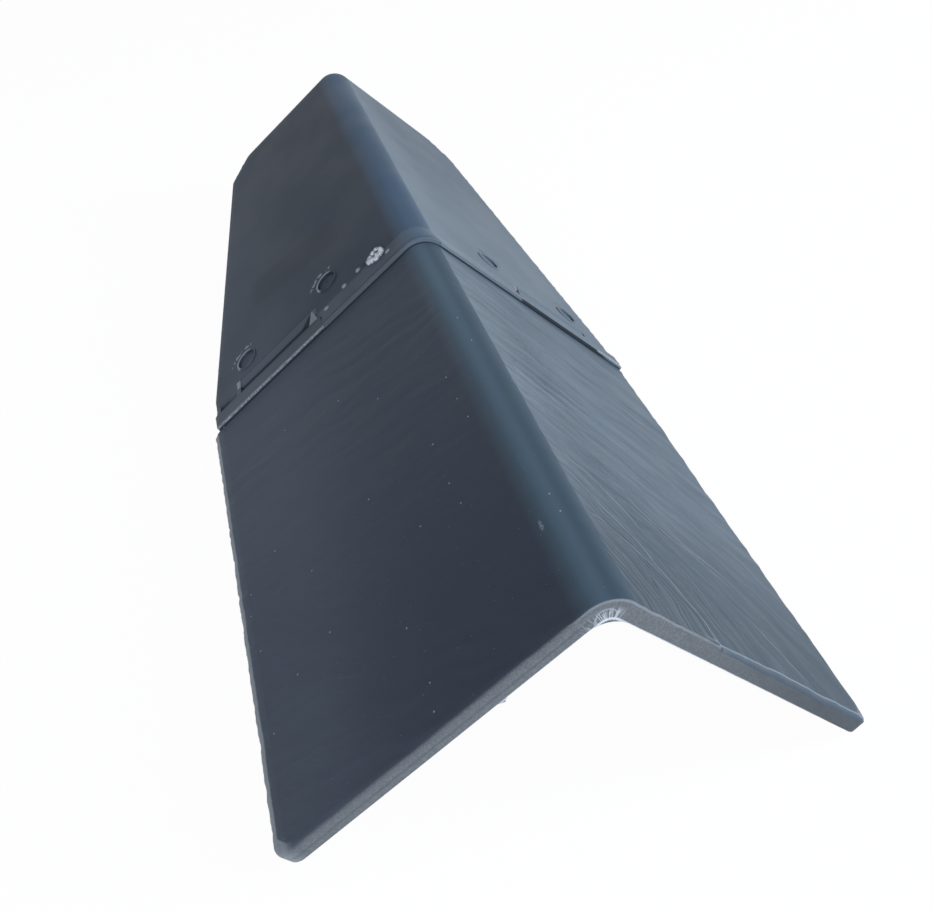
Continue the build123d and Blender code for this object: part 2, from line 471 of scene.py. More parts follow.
# %% Fold a place of the sheet, and unfold it
def unfold(x, z):
    """The (across, height) of a point of the folded tile, in millimetres."""
    centre = apex_height - ridge_radius / math.cos(leg_pitch)
    turn = np.arctan2(x, z - centre)
    on_arc = np.abs(turn) < leg_pitch
    arc_across = turn / leg_pitch * arc_reach
    arc_height = np.hypot(x, z - centre) - ridge_radius
    leg_across = np.abs(x) * math.cos(leg_pitch) - (z - apex_height) * math.sin(leg_pitch)
    leg_height = np.abs(x) * math.sin(leg_pitch) + (z - apex_height) * math.cos(leg_pitch)
    across = np.where(on_arc, arc_across, np.sign(x) * leg_across)
    return across, np.where(on_arc, arc_height, leg_height)


def underside(across, y):
    """The place on the sheet, as (across, height), of the underside below a place of the face."""
    thinning = (exposed_thickness - headlap_end_thickness) / (far_end - joint)
    depth = exposed_thickness - np.clip(y - joint, 0, None) * thinning
    centre = apex_height - (depth + ridge_inner_radius) / math.cos(leg_pitch)
    reach = (depth + ridge_inner_radius) * math.tan(leg_pitch)
    turn = np.clip(across / reach, -1, 1) * leg_pitch
    arc_across, arc_height = unfold(
        ridge_inner_radius * np.sin(turn), centre + ridge_inner_radius * np.cos(turn)
    )
    on_arc = np.abs(across) < reach
    return np.where(on_arc, arc_across, across), np.where(on_arc, arc_height, -depth)


ridge_depth = -underside(np.zeros(1), np.array([near_end]))[1][0]
print("thickness under the ridge line:", round(float(ridge_depth), 2), "mm")

# %% Triangulate the face and find its border
def triangulate(places, edges):
    """Points, triangles inside the outline, and where each given point went."""
    found = delaunay_2d_cdt([Vector(place) for place in places], edges, [], 0, 1e-5)
    spots = np.array([tuple(place) for place in found[0]])
    corners = np.array([face for face in found[2] if len(face) == 3])
    middle = spots[corners].mean(axis=1)
    inside = np.zeros(len(middle), bool)
    for here, there in zip(outline, np.roll(outline, -1, axis=0)):
        rise = there[1] - here[1]
        if rise != 0:
            crosses = (here[1] > middle[:, 1]) != (there[1] > middle[:, 1])
            reach = here[0] + (middle[:, 1] - here[1]) / rise * (there[0] - here[0])
            inside ^= crosses & (middle[:, 0] < reach)
    went = {given: new for new, originals in enumerate(found[3]) for given in originals}
    return spots, corners[inside], went


def walk_border(triangles):
    """The border of a patch of triangles, as one loop of point numbers."""
    ways = {(t[i], t[(i + 1) % 3]) for t in triangles.tolist() for i in range(3)}
    ahead = {here: there for here, there in ways if (there, here) not in ways}
    loop = [min(ahead)]
    while ahead[loop[-1]] != loop[0]:
        loop.append(ahead[loop[-1]])
    return loop


face_points, face_triangles, _ = triangulate(points, lines)
border = walk_border(face_triangles)
print("face:", len(face_points), "points,", len(face_triangles), "triangles, border", len(border))

# %% Round the edge of the face; the underside gets the same radius
edge_radius = 0.4
dense = rounded_path(right_half + left_half, 0.1)
border_tree = KDTree(len(dense))
for i, place in enumerate(dense):
    border_tree.insert((*place, 0), i)
border_tree.balance()


def edge_distance(places):
    """How far each place lies from the outline."""
    return np.array([border_tree.find((*place, 0))[2] for place in places])


def rounding(distance, radius):
    """How far a rounded edge drops at a distance from the outline."""
    inward = np.clip(radius - distance, 0, radius)
    return radius - np.sqrt(radius**2 - inward**2)


face_distance = edge_distance(face_points)
face_distance[border] = 0
face_across, face_y = face_points.T
face_heights = face_height(face_across, face_y) - rounding(face_distance, edge_radius)
ledge_drop, ledge_highlight_and_shade = ledge_relief(face_across, face_y)
face_heights -= ledge_drop
print("heights from", round(face_heights.min(), 2), "to", round(face_heights.max(), 2), "mm")

# %% Triangulate the underside
loop_places = face_points[border]
under_points = [tuple(place) for place in loop_places]
under_lines = [(i, (i + 1) % len(border)) for i in range(len(border))]
for y in np.arange(near_end + 5, far_end - 2, 10.0):
    ridge = np.arange(-16, 16.1, 1.6)
    leg = np.arange(24, exposed_leg, 10.0)
    under_points += [(across, y) for across in np.concatenate([-leg, ridge, leg])]
nib = (-50.0, near_end)
nib_radius = 2.0
nib_drop = 1.5
for y in (0.5, 1.0, 1.5, 2.2):
    under_points += [(nib[0] + right, near_end + y) for right in np.linspace(-2.2, 2.2, 9)]
for inset in (0.15, 0.4):
    ahead = np.roll(outline, -1, axis=0) - np.roll(outline, 1, axis=0)
    inward = np.stack([-ahead[:, 1], ahead[:, 0]], 1) / np.linalg.norm(ahead, axis=1)[:, None]
    under_points += [tuple(place) for place in outline + inward * inset]
under_spots, under_triangles, went = triangulate(under_points, under_lines)
under_border = [went[i] for i in range(len(border))]
under_distance = edge_distance(under_spots)
under_distance[under_border] = 0
under_across, under_heights = underside(under_spots[:, 0], under_spots[:, 1])
under_heights = under_heights + rounding(under_distance, edge_radius)
nib_away = np.hypot(under_spots[:, 0] - nib[0], under_spots[:, 1] - nib[1])
under_heights -= nib_drop * np.clip(1 - nib_away / nib_radius, 0, 1)
print("underside:", len(under_spots), "points,", len(under_triangles), "triangles")

# %% Join face, edge and underside into one closed mesh
wall_rows = (0.15, 0.35, 0.55, 0.75, 0.9)
face_part = np.column_stack([face_points, face_heights])
under_part = np.column_stack([under_across, under_spots[:, 1], under_heights])
top_loop = face_part[border]
bottom_loop = under_part[under_border]
wall_part = [top_loop + (bottom_loop - top_loop) * row for row in wall_rows]
places = np.concatenate([face_part] + wall_part + [under_part]) * MM
count = len(border)
loops = [np.array(border)]
loops += [len(face_part) + count * row + np.arange(count) for row in range(len(wall_rows))]
under_start = len(face_part) + count * len(wall_rows)
loops.append(under_start + np.array(under_border))
faces = face_triangles.tolist() + (under_triangles[:, ::-1] + under_start).tolist()
for upper, lower in zip(loops, loops[1:]):
    quads = np.stack([upper, lower, np.roll(lower, -1), np.roll(upper, -1)], 1)
    faces += quads.tolist()
sheet_mesh = bpy.data.meshes.new("flat_sheet")
sheet_mesh.from_pydata(places.tolist(), [], faces)
gate_away = gate_gap(face_across, face_y)
for name, on_face, elsewhere in (
    ("skin", 1.0, 0.0),
    ("ledge_light_and_shade", ledge_highlight_and_shade, 0.0),
    ("gate_away", gate_away, 99.0),
):
    values = np.full(len(places), elsewhere)
    values[: len(face_part)] = on_face
    sheet_mesh.attributes.new(name, "FLOAT", "POINT").data.foreach_set("value", values)
work = bmesh.new()
work.from_mesh(sheet_mesh)
loose = [vert for vert in work.verts if not vert.link_faces]
bmesh.ops.delete(work, geom=loose, context="VERTS")
bmesh.ops.recalc_face_normals(work, faces=work.faces)
open_edges = sum(1 for edge in work.edges if len(edge.link_faces) != 2)
print("closed sheet:", len(work.faces), "faces, open edges", open_edges)
print("sheet volume:", round(work.calc_volume() / MM**3), "mm3")
work.to_mesh(sheet_mesh)
work.free()
sheet = bpy.data.objects.new("moulded_tile", sheet_mesh)
bpy.context.scene.collection.objects.link(sheet)

# %% [markdown]
# ## One helper for nodes
# The relief, the fold and the material are all trees of nodes. Written out in full, each node
# takes several lines, so one helper adds a node, sets its properties and fills its sockets.
# A socket gets a plain value, another socket, or another node, whose first output is meant.
# Products of several masks and depths come up so often that a chain of them is a tool of its own.

# %% The helper that adds a node
MATH = "ShaderNodeMath"
VECTOR_MATH = "ShaderNodeVectorMath"
COMBINE = "ShaderNodeCombineXYZ"
SEPARATE = "ShaderNodeSeparateXYZ"
RANGE = "ShaderNodeMapRange"
NOISE = "ShaderNodeTexNoise"


def add(tree, kind, inputs=None, **settings):
    """Adds one node: settings are its properties, and inputs are values, sockets or nodes."""
    made = tree.nodes.new(kind)
    for name, value in settings.items():
        setattr(made, name, value)
    for name, value in (inputs or {}).items():
        if isinstance(value, bpy.types.Node):
            value = value.outputs[0]
        if isinstance(value, bpy.types.NodeSocket):
            tree.links.new(value, made.inputs[name])
        else:
            made.inputs[name].default_value = value
    return made


def product(tree, *factors):
    """A socket with the product of sockets, nodes and numbers."""
    found = factors[0]
    for factor in factors[1:]:
        found = add(tree, MATH, {0: found, 1: factor}, operation="MULTIPLY").outputs[0]
    return found


# %% [markdown]
# ## The flow of the streaks
# Riven slate splits in thin layers, so its face has long streaks that run across it, and on this
# tile they swing round towards the near end on the right leg. A noise alone knows no direction,
# so the trees first work out a flow: a number that stays the same along each streak.
# On the right leg its lines are parabolas, and on the left leg they are nearly straight.
# A wide, weak noise makes them wander a little.


# %% Work out the flow
def streak_flow(tree, across, from_end):
    """A socket with the number of the streak at a place, in millimetres square to the streaks."""
    turn_room = 6.0
    turn_rate = 94.0
    left_slope = 0.25
    wander_size = 22.0
    wander_reach = 11.0
    base = add(tree, MATH, {0: from_end, 1: turn_room}, operation="ADD")
    squared = product(tree, base, base)
    right = add(tree, MATH, {0: across, 1: 0.0}, operation="MAXIMUM")
    left = add(tree, MATH, {0: across, 1: 0.0}, operation="MINIMUM")
    summed = add(tree, MATH, {0: right, 1: turn_rate, 2: squared}, operation="MULTIPLY_ADD")
    rooted = add(tree, MATH, {0: summed}, operation="SQRT")
    even = add(tree, MATH, {0: left, 1: left_slope, 2: rooted}, operation="MULTIPLY_ADD")
    spot = add(tree, COMBINE, {0: across, 1: from_end, 2: 3.0})
    wander = add(tree, NOISE, {"Vector": spot, "Scale": 1 / wander_size, "Detail": 1.0})
    wandering = add(tree, MATH, {0: wander, 1: wander_reach, 2: even}, operation="MULTIPLY_ADD")
    return wandering.outputs[0]


def flowing_noise(tree, across, flow, seed, length, width, detail):
    """A noise drawn out along the flow: its grain has this length and width in millimetres."""
    along = add(tree, MATH, {0: across, 1: length}, operation="DIVIDE")
    over = add(tree, MATH, {0: flow, 1: width}, operation="DIVIDE")
    spot = add(tree, COMBINE, {0: along, 1: over, 2: seed})
    return add(tree, NOISE, {"Vector": spot, "Scale": 1.0, "Detail": detail}).outputs[0]


# %% [markdown]
# ## The riven relief and the fold
# The broad waves could be a bump in the material, but then the edges would stay straight, so they
# move the mesh. Geometry Nodes work on the flat sheet, where the flow is simple to describe, and
# the same tree then folds the sheet over the ridge: a point turns about the ridge's centre as far
# as the legs' pitch, and the rest lies straight. Its inputs are in millimetres.

# %% Start the tree and its inputs
shape = bpy.data.node_groups.new("riven_face_and_fold", "GeometryNodeTree")
sizes = {
    "Pitch": leg_pitch,
    "Ridge radius": ridge_radius,
    "Arc reach": arc_reach,
    "Ridge centre": apex_height - ridge_radius / math.cos(leg_pitch),
    "Near end": near_end,
    "Joint": joint,
    "Leg": exposed_leg,
    "Wave depth": 0.9,
    "Streak depth": 0.95,
    "Chip depth": 0.55,
    "Seed": 7.0,
}
shape.interface.new_socket("Geometry", in_out="INPUT", socket_type="NodeSocketGeometry")
sockets = {}
for name in [*sizes, "Material"]:
    socket_type = "NodeSocketMaterial" if name == "Material" else "NodeSocketFloat"
    sockets[name] = shape.interface.new_socket(name, in_out="INPUT", socket_type=socket_type)
shape.interface.new_socket("Geometry", in_out="OUTPUT", socket_type="NodeSocketGeometry")
given = add(shape, "NodeGroupInput").outputs
print("tree inputs:", list(sizes))

# %% Read the flat sheet and follow the flow
place = add(shape, "GeometryNodeInputPosition")
in_mm = add(shape, VECTOR_MATH, {0: place, "Scale": 1 / MM}, operation="SCALE")
sheet_across, sheet_y, sheet_height = add(shape, SEPARATE, {0: in_mm}).outputs
skin_here = add(shape, "GeometryNodeInputNamedAttribute", {"Name": "skin"}, data_type="FLOAT")
from_end = add(shape, MATH, {0: sheet_y, 1: given["Near end"]}, operation="SUBTRACT")
flow = streak_flow(shape, sheet_across, from_end)
waves = flowing_noise(shape, sheet_across, flow, given["Seed"], 85.0, 15.0, 1.0)
streaks = flowing_noise(shape, sheet_across, flow, given["Seed"], 40.0, 5.0, 1.0)
print("nodes of the flow:", len(shape.nodes))

# %% Keep the relief to the exposed face, and calm it on the ridge
wave_top = 0.66
streak_top = 0.62
wave_part = add(shape, MATH, {0: waves, 1: wave_top}, operation="SUBTRACT")
streak_part = add(shape, MATH, {0: streaks, 1: streak_top}, operation="SUBTRACT")
relief = product(shape, wave_part, given["Wave depth"])
relief = {0: streak_part, 1: given["Streak depth"], 2: relief}
relief = add(shape, MATH, relief, operation="MULTIPLY_ADD")
to_joint = add(shape, MATH, {0: given["Joint"], 1: sheet_y}, operation="SUBTRACT")
before_joint = add(shape, RANGE, {0: to_joint, 1: 0.5, 2: 4.0}, interpolation_type="SMOOTHSTEP")
out = add(shape, MATH, {0: sheet_across}, operation="ABSOLUTE")
off_ridge = {0: out, 1: 8.0, 2: 17.0, 3: 0.1, 4: 1.0}
off_ridge = add(shape, RANGE, off_ridge, interpolation_type="SMOOTHSTEP")
relief = product(shape, relief, product(shape, before_joint, off_ridge, skin_here))
print("with the relief:", len(shape.nodes))

# %% [markdown]
# ## Dressed edges
# The edges of a slate are dressed with a hammer, which leaves small chips. On the moulding they
# show along the sides of the exposed part and along the near end of the right leg, and they only
# ever take material away. A noise with a small grain moves the edge inwards, most at its top.

# %% Chip the edges of the exposed part
chip_size = 3.4
chips = add(shape, NOISE, {"Vector": in_mm, "Scale": 1 / chip_size, "Detail": 2.0})
chips = add(shape, RANGE, {0: chips, 1: 0.42, 2: 0.75})
upper = add(shape, RANGE, {0: sheet_height, 1: -6.5, 2: -1.0, 3: 0.35, 4: 1.0})
exposed = add(shape, RANGE, {0: to_joint, 1: 0.5, 2: 3.0})
chips = product(shape, chips, upper, exposed, given["Chip depth"])
to_side = add(shape, MATH, {0: given["Leg"], 1: out}, operation="SUBTRACT")
at_side = add(shape, RANGE, {0: to_side, 1: 0.0, 2: 2.0, 3: 1.0, 4: 0.0})
at_end = add(shape, RANGE, {0: from_end, 1: 0.0, 2: 1.5, 3: 0.6, 4: 0.0})
on_right = add(shape, RANGE, {0: sheet_across, 1: 12.0, 2: 24.0})
side_chips = product(shape, chips, at_side)
end_chips = product(shape, chips, at_end, on_right)
side = add(shape, MATH, {0: sheet_across}, operation="SIGN")
new_out = add(shape, MATH, {0: out, 1: side_chips}, operation="SUBTRACT")
new_y = add(shape, MATH, {0: sheet_y, 1: end_chips}, operation="ADD")
new_height = add(shape, MATH, {0: sheet_height, 1: relief}, operation="ADD")
print("with the chips:", len(shape.nodes))

# %% Fold the sheet over the ridge
turned = {0: new_out, 1: given["Arc reach"]}
turned = add(shape, MATH, turned, operation="DIVIDE", use_clamp=True)
turned = product(shape, turned, given["Pitch"])
straight_run = add(shape, MATH, {0: new_out, 1: given["Arc reach"]}, operation="SUBTRACT")
straight_run = add(shape, MATH, {0: straight_run, 1: 0.0}, operation="MAXIMUM")
radius = add(shape, MATH, {0: given["Ridge radius"], 1: new_height}, operation="ADD")
sine, pitch_sine = (add(shape, MATH, {0: x}, operation="SINE") for x in (turned, given["Pitch"]))
cosine, pitch_cosine = (
    add(shape, MATH, {0: x}, operation="COSINE") for x in (turned, given["Pitch"])
)
arc_x = product(shape, radius, sine)
far_x = add(shape, MATH, {0: straight_run, 1: pitch_cosine, 2: arc_x}, operation="MULTIPLY_ADD")
folded_x = product(shape, far_x, side)
arc_z = {0: radius, 1: cosine, 2: given["Ridge centre"]}
arc_z = add(shape, MATH, arc_z, operation="MULTIPLY_ADD")
drop = product(shape, straight_run, pitch_sine)
folded_z = add(shape, MATH, {0: arc_z, 1: drop}, operation="SUBTRACT")
folded = add(shape, COMBINE, {0: folded_x, 1: new_y, 2: folded_z})
folded = add(shape, VECTOR_MATH, {0: folded, "Scale": MM}, operation="SCALE")
marked = add(
    shape,
    "GeometryNodeStoreNamedAttribute",
    {"Geometry": given["Geometry"], "Name": "flat", "Value": in_mm},
    data_type="FLOAT_VECTOR",
    domain="POINT",
)
moved = add(shape, "GeometryNodeSetPosition", {"Geometry": marked, "Position": folded})
real = add(shape, "GeometryNodeRealizeInstances", {0: moved})
coated = {"Geometry": real, "Material": given["Material"]}
add(shape, "NodeGroupOutput", {0: add(shape, "GeometryNodeSetMaterial", coated)})
print("relief and fold nodes:", len(shape.nodes))

# %% [markdown]
# ## The material
# The tile is compression moulded from a polymer filled with stone powder, dyed slate grey.
# The paint works in the flat sheet's millimetres, which the mesh keeps as the attribute `flat`.
# It is built up like coats of paint: each coat is a colour, an amount and masks that tell where
# it lies. Every mask is a place measured on the tile: a band from a start to an end, with the
# width of the soft border before it and after it.


# %% Colours, masks and coats
def linear(code):
    """A sRGB hex colour as linear red, green, blue and alpha."""
    values = [int(code[i : i + 2], 16) / 255 for i in (1, 3, 5)]
    return [v / 12.92 if v <= 0.04045 else ((v + 0.055) / 1.055) ** 2.4 for v in values] + [1.0]


moulded = bpy.data.materials.new("moulded_filled_polymer")
moulded.use_nodes = True
paint = moulded.node_tree
paint.nodes.clear()


def band(value, start, end, before, after):
    """A mask that is one from start to end and fades out over a border on each side."""
    rising = {0: value, 1: start - before, 2: start}
    falling = {0: value, 1: end, 2: end + after, 3: 1.0, 4: 0.0}
    sides = [add(paint, RANGE, way, interpolation_type="SMOOTHSTEP") for way in (rising, falling)]
    return product(paint, *sides)


def both(*masks):
    """The mask of the places where all the given masks hold."""
    return product(paint, *masks)


def coats(under, *layers):
    """Lays coats over what is there: each is a colour, an amount and the masks that bound it."""
    for colour, amount, *masks in layers:
        mixed = {0: both(both(*masks), amount), 6: under, 7: linear(colour)}
        under = add(paint, "ShaderNodeMix", mixed, data_type="RGBA").outputs[2]
    print("coats laid:", len(layers), "nodes:", len(paint.nodes))
    return under


def round_band(centre_out, centre_y, inner, outer, soft):
    """A ring-shaped mask on both legs round a place, between two radii."""
    ends = {0: on_leg, 1: (centre_out, centre_y, 0)}
    gap = add(paint, VECTOR_MATH, ends, operation="DISTANCE").outputs["Value"]
    return band(gap, inner, outer, soft, soft)


# %% [markdown]
# ## Places on the sheet
# The masks need a few measures of a place: `across` and `out_here` from the ridge, `from_near`
# from the near end, `behind` from the joint, negative on the exposed part, and its height.

# %% Measure the places
flat = add(paint, "ShaderNodeAttribute", attribute_name="flat").outputs["Vector"]
ledge_light_here = add(paint, "ShaderNodeAttribute", attribute_name="ledge_light_and_shade").outputs["Fac"]
gate_here = add(paint, "ShaderNodeAttribute", attribute_name="gate_away").outputs["Fac"]
across, along, height = add(paint, SEPARATE, {0: flat}).outputs
out_here = add(paint, MATH, {0: across}, operation="ABSOLUTE").outputs[0]
on_leg = add(paint, COMBINE, {0: out_here, 1: along, 2: 0.0}).outputs[0]
on_sheet = add(paint, COMBINE, {0: across, 1: along, 2: 0.0}).outputs[0]
from_near = add(paint, MATH, {0: along, 1: near_end}, operation="SUBTRACT").outputs[0]
behind = add(paint, MATH, {0: along, 1: joint}, operation="SUBTRACT").outputs[0]
flow_here = streak_flow(paint, across, from_near)
left_leg = band(across, -200.0, 0.0, 1.0, 1.0)
left_side = band(across, -200.0, -1.0, 1.0, 1.0)
right_leg = band(across, 9.0, 200.0, 2.0, 1.0)
exposed_face = band(behind, -300.0, -0.4, 1.0, 0.3)
headlap = band(behind, 0.3, 300.0, 0.3, 1.0)
print("nodes of the places:", len(paint.nodes))

# %% [markdown]
# ## The body colour
# The body is a slate grey. On the ridge it is bluer: partly a satin finish, as there the hot
# moulding is drawn over a polished tool, and partly a painted reflection of a blue sky, both
# stronger on the headlap, with painted shade along the band's right side. The legs get painted
# light and shade: the right leg is painted lighter than the left, with painted light beside the
# ridge and on its headlap and painted shade towards the near end; the left leg gets painted shade
# beside the ridge, towards the near end and on the far headlap, and painted light along its outer
# side.
# A soft mottle and the streaks keep it from being even.

# %% Noises of the body, with grains from 38 mm to 0.9 mm
mottle = add(paint, NOISE, {"Vector": flat, "Scale": 1 / 38.0, "Detail": 3.0})
mottle = band(mottle, 0.62, 1.0, 0.24, 0.1)
fine_streaks = flowing_noise(paint, across, flow_here, 2.0, 15.0, 2.6, 2.0)
streak_tone = band(fine_streaks, 0.66, 1.0, 0.22, 0.1)
grain = add(paint, NOISE, {"Vector": flat, "Scale": 1 / 0.9, "Detail": 2.0}).outputs[0]
grain_tone = band(grain, 0.66, 1.0, 0.2, 0.1)
broad_streaks = flowing_noise(paint, across, flow_here, 8.0, 46.0, 6.5, 2.0)
broad_pale = band(broad_streaks, 0.68, 1.0, 0.22, 0.1)
broad_dark = band(broad_streaks, 0.0, 0.34, 0.1, 0.2)
print("with the noises:", len(paint.nodes))

# %% Mix the body colour
painted_shade_beside_ridge = band(across, -46.0, -8.0, 70.0, 3.0)
ridge_here = band(across, -6.8, 9.6, 9.2, 1.6)
ridge_right_painted_shade = band(across, 3.0, 9.8, 7.0, 1.2)
outer_left = band(across, -150.0, -130.0, 1.0, 60.0)
by_ridge_left = band(across, -80.0, -12.0, 40.0, 4.0)
body = coats(
    linear("#464f5b"),
    ("#4f5862", 0.5, mottle),
    # painted light: the right leg is painted lighter than the left
    ("#525e67", 0.9, right_leg),
    ("#5e6e79", 0.35, broad_pale, exposed_face, right_leg),
    # painted light on the right leg beside the ridge
    ("#6a757d", 0.5, band(across, 10.6, 14.0, 0.8, 26.0)),
    # painted shade on the right leg towards the near end, and painted light on its headlap
    ("#3b464e", 0.88, right_leg, band(from_near, -1.0, 10.0, 1.0, 120.0)),
    ("#68747d", 0.35, right_leg, band(behind, 0.3, 70.0, 0.3, 120.0)),
    ("#38454f", 0.3, broad_dark, exposed_face, right_leg),
    ("#66747e", 0.18, streak_tone, exposed_face, band(across, 11.0, 50.0, 2.0, 90.0)),
    ("#59636e", 0.14, grain_tone),
    # painted shade on the left leg beside the ridge, darker on its headlap
    ("#2c3541", 0.5, painted_shade_beside_ridge, band(height, -3.2, 9.0, 0.5, 1.0)),
    ("#222c37", 0.8, painted_shade_beside_ridge, headlap),
    # painted light on the left headlap's outer side, and painted shade towards its far end
    ("#68717c", 0.35, outer_left, band(behind, 0.3, 30.0, 0.3, 110.0)),
    ("#313b48", 0.65, left_leg, band(behind, 40.0, 300.0, 60.0, 1.0)),
    # painted shade on the left leg towards the near end and the ridge
    ("#2c3541", 0.4, band(from_near, -1.0, 20.0, 1.0, 150.0), by_ridge_left),
    # the ridge's bluer satin colour, with a painted reflection of a blue sky
    ("#4d606d", 0.9, ridge_here, exposed_face),
    ("#35526b", 0.9, ridge_here, headlap),
    ("#22394e", 0.4, ridge_here, band(behind, 130.0, 300.0, 90.0, 1.0)),
    # painted shade along the ridge's right side
    ("#2b3b46", 0.72, ridge_right_painted_shade, exposed_face),
    ("#2a4052", 0.6, ridge_right_painted_shade, headlap),
)

# %% [markdown]
# ## The faint patch on the headlap
# The photo shows a slightly darker patch on the left headlap, where something lay on the tile.
# Its lower border rises a little towards the side, so the mask measures from a slanted line.

# %% Lay the faint patch
patch_slope = 0.18
patch_line = {0: across, 1: patch_slope, 2: from_near}
patch_line = add(paint, MATH, patch_line, operation="MULTIPLY_ADD").outputs[0]
patch = both(band(across, -99.0, -44.0, 7.0, 7.0), band(patch_line, 303.0, 322.0, 7.0, 7.0))
body = coats(body, ("#1f262e", 0.3, patch))

# %% [markdown]
# ## Pale faces, and painted highlights and shade on edges
# The near end's face and the dressed sides are painted a paler, speckled grey. The ledges' edges
# and the rims of the nail marks get painted highlights, and the ledges' feet painted shade.
# Under the ridge the trimming left pale marks that spread like rays below the bend.
# The dressed side follows the rounded corner, so there it is measured from the corner's centre.

# %% The pale end face and dressed sides
speckle = add(paint, NOISE, {"Vector": flat, "Scale": 1 / 0.55, "Detail": 2.0})
speckle = band(speckle, 0.62, 1.0, 0.2, 0.1)
end_face = both(band(from_near, -1.0, 0.3, 0.5, 1.2), band(height, -9.0, -0.3, 0.5, 0.2))
corner_widening = 2.6
corner_out = {0: out_here, 1: exposed_leg - near_corner_radius}
corner_back = {0: near_corner_radius, 1: from_near}
corner = []
for gap in (corner_out, corner_back):
    gap = add(paint, MATH, gap, operation="SUBTRACT")
    corner.append(add(paint, MATH, {0: gap, 1: 0.0}, operation="MAXIMUM"))
corner_spot = add(paint, COMBINE, {0: corner[0], 1: corner[1]})
corner_reach = add(paint, VECTOR_MATH, {0: corner_spot}, operation="LENGTH").outputs["Value"]
corner_share = add(paint, RANGE, {0: product(paint, *corner), 1: 0.0, 2: 14.0})
inward = {0: corner_share, 1: corner_widening, 2: corner_reach}
inward = add(paint, MATH, inward, operation="MULTIPLY_ADD").outputs[0]
dressed = both(
    band(inward, near_corner_radius - 3.0, 30.0, 1.0, 1.0),
    band(out_here, 141.0, 150.0, 6.0, 0.5),
    band(behind, -300.0, -0.5, 1.0, 0.5),
)
middle_line = both(end_face, band(height, -4.6, -3.9, 0.4, 0.4))
body = coats(
    body,
    ("#676c70", 0.9, end_face),
    ("#868b8e", 0.35, end_face, speckle),
    ("#858d93", 0.9, dressed),
    ("#949b9f", 0.35, dressed, speckle),
    ("#46515a", 0.85, dressed, right_leg),
    ("#4a5055", 0.8, end_face, band(across, 120.0, 150.0, 100.0, 1.0)),
    ("#454c52", 0.35, middle_line, left_leg),
)

# %% Pale rays under the bend, and the arch of a pale line round them
rays = add(paint, VECTOR_MATH, {0: flat, 1: (1.1, 0.0, 0.1)}, operation="MULTIPLY")
rays = add(paint, NOISE, {"Vector": rays, "Scale": 1.0, "Detail": 2.0})
near_bend = both(end_face, band(across, -12.0, 7.0, 6.0, 4.0))
rays = both(near_bend, band(height, -8.0, -5.4, 0.5, 3.2), band(rays, 0.6, 1.0, 0.12, 0.1))
arch_left, arch_width, arch_foot, arch_height = 3.0, 9.0, 7.6, 4.2
arch_across = {0: across, 1: 1 / arch_width, 2: arch_left / arch_width}
arch_up = {0: height, 1: 1 / arch_height, 2: arch_foot / arch_height}
arch = [add(paint, MATH, way, operation="MULTIPLY_ADD") for way in (arch_across, arch_up)]
arch = add(paint, COMBINE, {0: arch[0], 1: arch[1]})
arch = add(paint, VECTOR_MATH, {0: arch}, operation="LENGTH").outputs["Value"]
print("with the arch:", len(paint.nodes))

# %% Painted highlights on thin edges and the right bevel, and painted highlight and shade on the ledges
lower_edge_highlight = both(band(from_near, -1.0, 0.3, 0.5, 0.3), band(height, -8.0, -7.3, 0.3, 0.25))
upper_edge_highlight = both(band(from_near, -1.0, 0.25, 0.5, 0.25), band(height, -0.7, 0.5, 0.2, 0.5))
right_bevel = both(band(across, 62.0, 150.0, 16.0, 1.0), band(height, -1.7, 1.0, 0.3, 1.0))
body = coats(
    body,
    ("#c3cbd0", 0.75, rays),
    # painted highlight along the lower edge of the near end's face
    ("#d4dadd", 0.85, lower_edge_highlight, band(across, -30.0, 60.0, 60.0, 80.0)),
    ("#b9c1c6", 0.45, end_face, band(arch, 0.98, 1.04, 0.06, 0.06)),
    ("#46525c", 0.8, end_face, right_bevel),
    # painted highlight along the top of the right leg's bevel
    ("#8b98a2", 0.5, band(from_near, 1.7, 2.3, 0.4, 0.5), band(across, 56.0, 140.0, 14.0, 2.0)),
    # painted highlight along the near end's upper edge by the ridge
    ("#a4abaf", 0.3, upper_edge_highlight, band(across, -14.0, 20.0, 4.0, 60.0)),
    # painted highlight on the ledges' edges and painted shade at their feet
    ("#96a3ad", 0.5, band(ledge_light_here, 0.9, 9.0, 0.9, 1.0)),
    ("#262f38", 0.7, band(ledge_light_here, -9.0, -0.8, 1.0, 0.8)),
)

# %% [markdown]
# ## The joint
# The bead's crest gets a painted highlight, and the crease at its foot and the troughs behind it
# get dark lines of painted shade, with a soft painted shadow below the bead on the right leg. The
# bead's tail is painted lighter where it turns from the lamps, and its wide part gets a speckled
# painted highlight along its rough lower edge. A trough's wall on the ridge's side leans: it is
# painted pale as a lit wall, and beside it the trough gets painted shade; its floor is painted
# lighter towards the headlap.

# %% Paint the bead
# colours for painted shade and painted shadow
painted_shade_colour = "#07101a"
shadow = "#12171c"
narrow_right = band(across, 12.0, 64.0, 2.0, 1.0)
bead_tail = band(behind, 3.4, 15.0, 0.6, 3.0)
wide_part = band(across, -140.0, -65.0, 0.5, 0.5)
